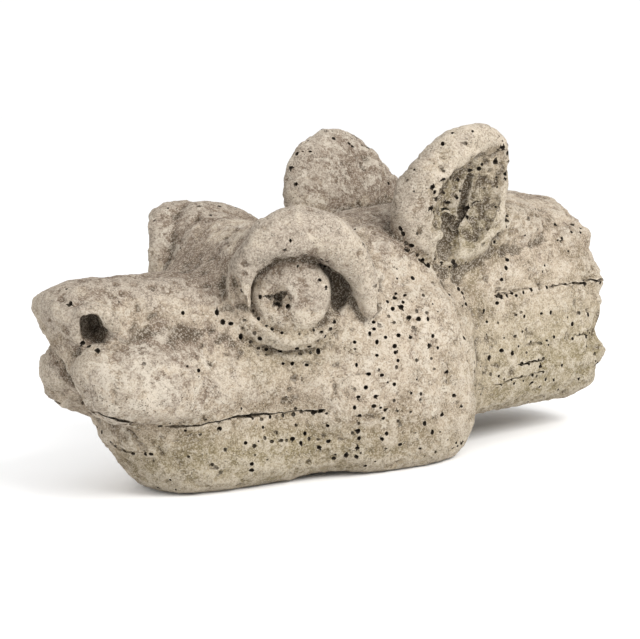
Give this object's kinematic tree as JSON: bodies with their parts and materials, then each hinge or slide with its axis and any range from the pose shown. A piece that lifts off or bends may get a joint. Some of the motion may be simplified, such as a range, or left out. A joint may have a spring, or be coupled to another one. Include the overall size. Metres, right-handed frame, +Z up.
{
  "type": "stone gargoyle",
  "caption": "Carved limestone gargoyle head: a beast with a blunt snout, hooded drum eyes and upright ears, on a stub of neck cut off flat at the back.",
  "frame": {"origin": "middle of the underside of the bounding box, on the surface the jaw stands on", "axes": "+Z up; the beast faces -Y and the flat end of its neck faces +Y; +X is the beast's left side"},
  "size_m": [0.3452, 0.7346, 0.4055],
  "materials": {
    "limestone": "weathered, matt, pitted, with grey-brown patina and pale lichen"
  },
  "bodies": {
    "root": {"gargoyle_head": "limestone"}
  },
  "joints": []
}
